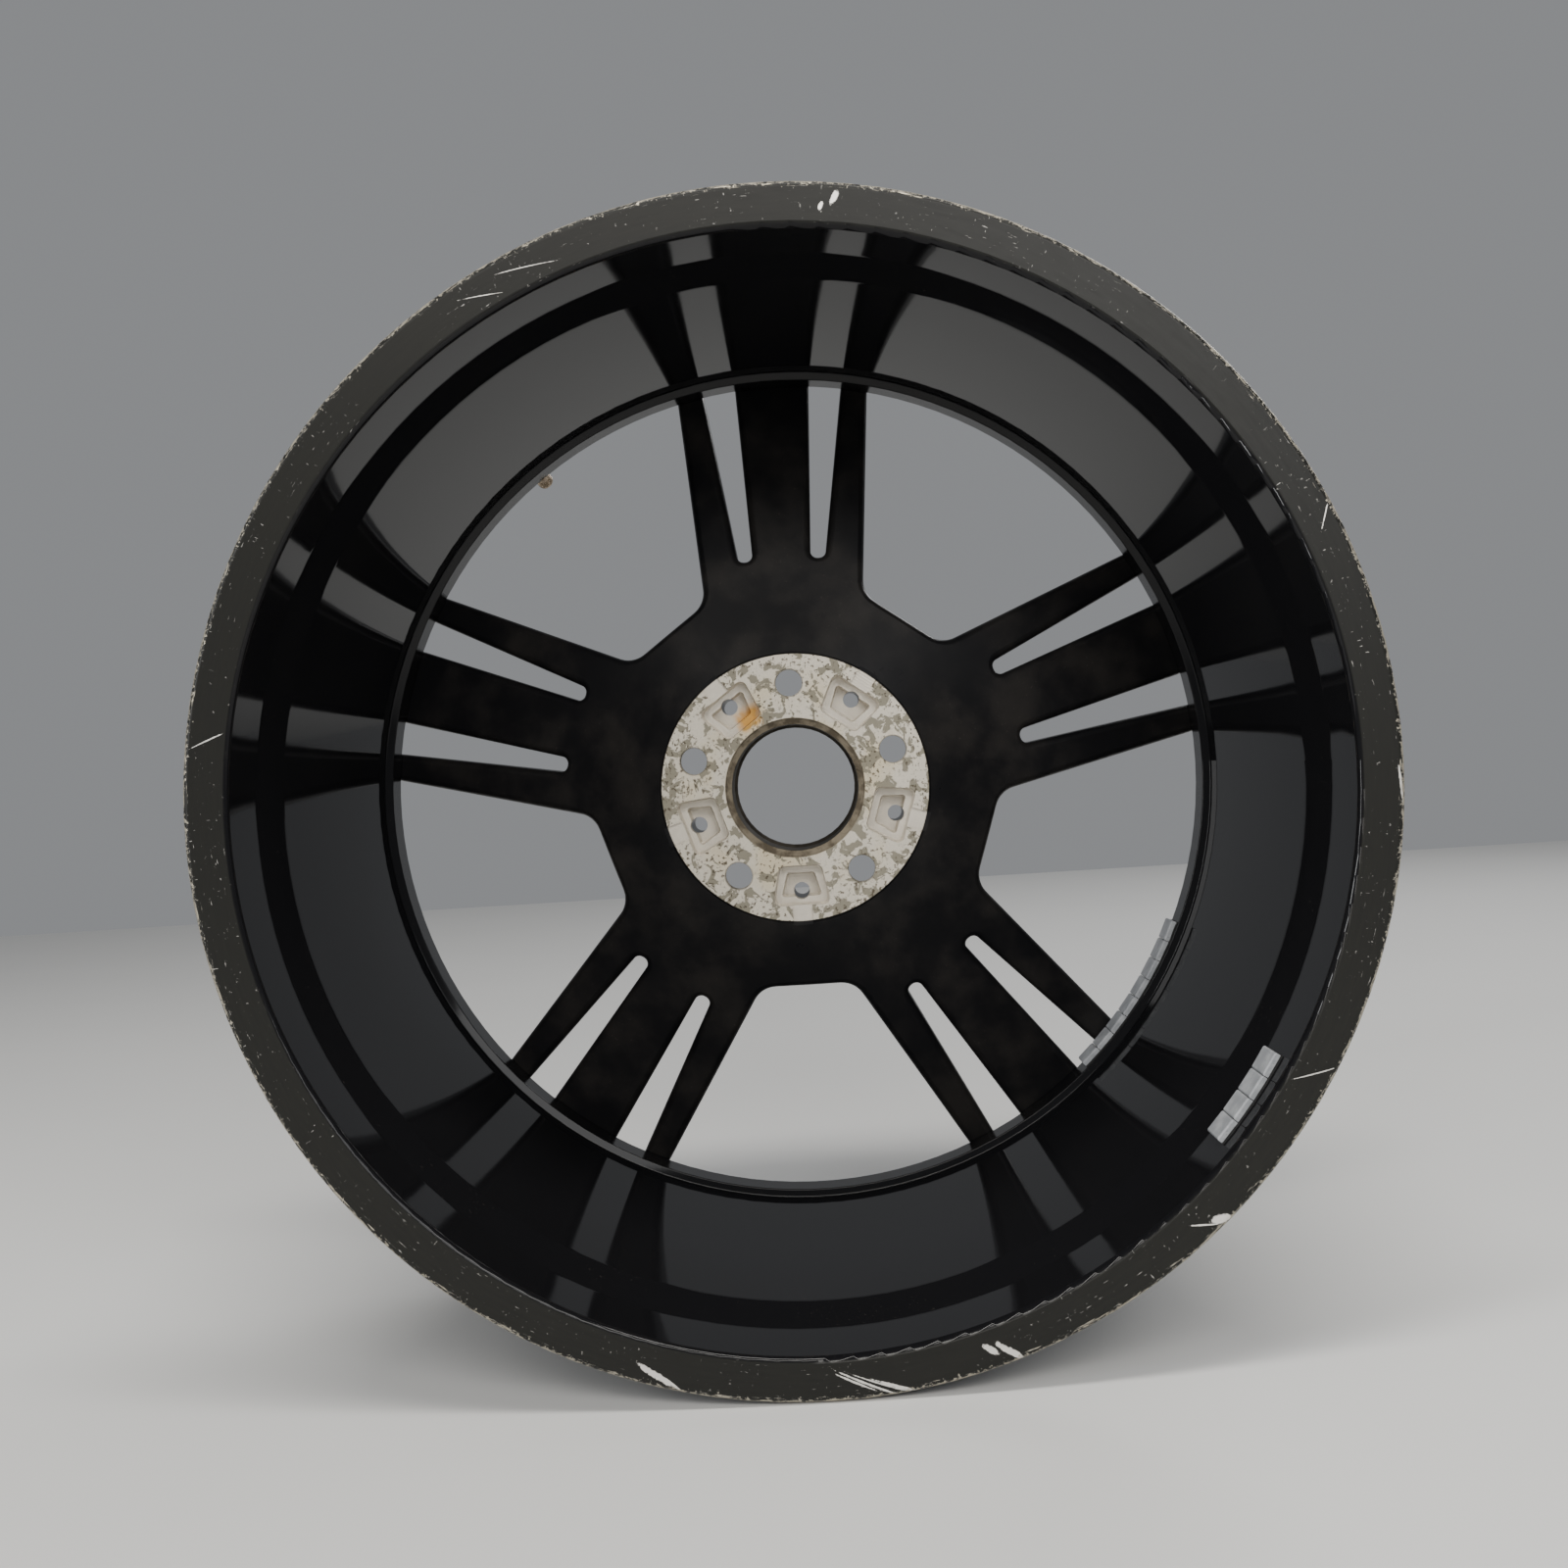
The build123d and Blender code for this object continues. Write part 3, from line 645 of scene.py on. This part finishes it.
class WHEEL_OT_sensor(bpy.types.Operator):
    """Finish the tyre pressure sensor in the well"""

    bl_idname = "wheel.sensor"
    bl_label = "Pressure sensor"

    def execute(self, context):
        coat(moulded("sensor_plastic", (0.014, 0.014, 0.015), 0.52, 2200), "sensor_case", "sensor_lid")
        coat(board_finish(), "sensor_board")
        cell = tarnished("cell_steel", (0.60, 0.60, 0.60), (0.45, 0.45, 0.44), 0.26, 1.0, 260)
        coat(cell, "sensor_cell")
        return {"FINISHED"}


def panel_light(name, place, aim, size, power, tint=(1.0, 1.0, 1.0)):
    data = bpy.data.lights.new(name, "AREA")
    data.shape = "RECTANGLE"
    data.size, data.size_y = size
    data.energy = power
    data.color = tint
    lamp = bpy.data.objects.new(name, data)
    lamp.location = place
    lamp.rotation_euler = (Vector(aim) - Vector(place)).to_track_quat("-Z", "Y").to_euler()
    bpy.context.scene.collection.objects.link(lamp)


class WHEEL_OT_studio(bpy.types.Operator):
    """Set the floor, the soft lights and the camera"""

    bl_idname = "wheel.studio"
    bl_label = "Studio"

    def execute(self, context):
        self.lay_floor(context)
        self.light(context)
        self.aim_camera(context)
        return {"FINISHED"}

    def lay_floor(self, context):
        level = -FLANGE_R - 0.0005
        half = 3.0
        corners = [(-half, -half, level), (half, -half, level), (half, half, level), (-half, half, level)]
        mesh = bpy.data.meshes.new("floor")
        mesh.from_pydata(corners, [], [(0, 1, 2, 3)])
        mesh.materials.append(floor_finish(context.scene.wheel_colours))
        floor = bpy.data.objects.new("floor", mesh)
        context.scene.collection.objects.link(floor)

    def light(self, context):
        world = bpy.data.worlds.new("studio")
        world.use_nodes = True
        sky = world.node_tree.nodes["Background"].inputs
        sky["Color"].default_value = (0.80, 0.82, 0.85, 1.0)
        sky["Strength"].default_value = 0.32
        context.scene.world = world
        warm = (1.0, 0.97, 0.92)
        panel_light("overhead", (0.1, -0.9, 2.3), (0, 0, 0), (1.7, 0.4), 58, warm)
        panel_light("brow", (0.0, -2.1, 1.25), (0, 0, 0), (2.2, 0.5), 34, warm)
        panel_light("left_fill", (-2.4, -1.7, 0.7), (0, 0, 0), (0.4, 1.5), 36)
        panel_light("front_fill", (0.9, -2.6, 0.9), (0, 0, 0), (1.2, 1.0), 20)
        panel_light("street_side", (1.6, 2.0, 1.6), (0, 0, 0), (1.6, 0.8), 26)

    def aim_camera(self, context):
        data = bpy.data.cameras.new("camera")
        data.lens = CAMERA_LENS
        data.sensor_width = 36.0
        camera = bpy.data.objects.new("camera", data)
        camera.location = CAMERA_PLACE
        camera.rotation_euler = [radians(v) for v in CAMERA_TURN]
        context.scene.collection.objects.link(camera)
        context.scene.camera = camera


class WHEEL_PT_panel(bpy.types.Panel):
    """Steps that build the wheel's looks"""

    bl_idname = "WHEEL_PT_panel"
    bl_label = "Five-spoke wheel"
    bl_space_type = "VIEW_3D"
    bl_region_type = "UI"
    bl_category = "Wheel"

    def draw(self, context):
        for step in STEPS:
            self.layout.operator(step.bl_idname)
        for name in WheelColours.__annotations__:
            self.layout.prop(context.scene.wheel_colours, name)
        for name in WheelSizes.__annotations__:
            self.layout.prop(context.scene.wheel_sizes, name)


STEPS = [WHEEL_OT_forging, WHEEL_OT_weights, WHEEL_OT_valve, WHEEL_OT_sensor, WHEEL_OT_studio]
CLASSES = [WheelColours, WheelSizes, *STEPS, WHEEL_PT_panel]


def register():
    for item in CLASSES:
        bpy.utils.register_class(item)
    bpy.types.Scene.wheel_colours = PointerProperty(type=WheelColours)
    bpy.types.Scene.wheel_sizes = PointerProperty(type=WheelSizes)


def unregister():
    del bpy.types.Scene.wheel_sizes
    del bpy.types.Scene.wheel_colours
    for item in reversed(CLASSES):
        bpy.utils.unregister_class(item)


def main():
    register()
    bpy.ops.wheel.forging()
    bpy.ops.wheel.weights()
    bpy.ops.wheel.valve()
    bpy.ops.wheel.sensor()
    bpy.ops.wheel.studio()


if __name__ == "__main__":
    main()
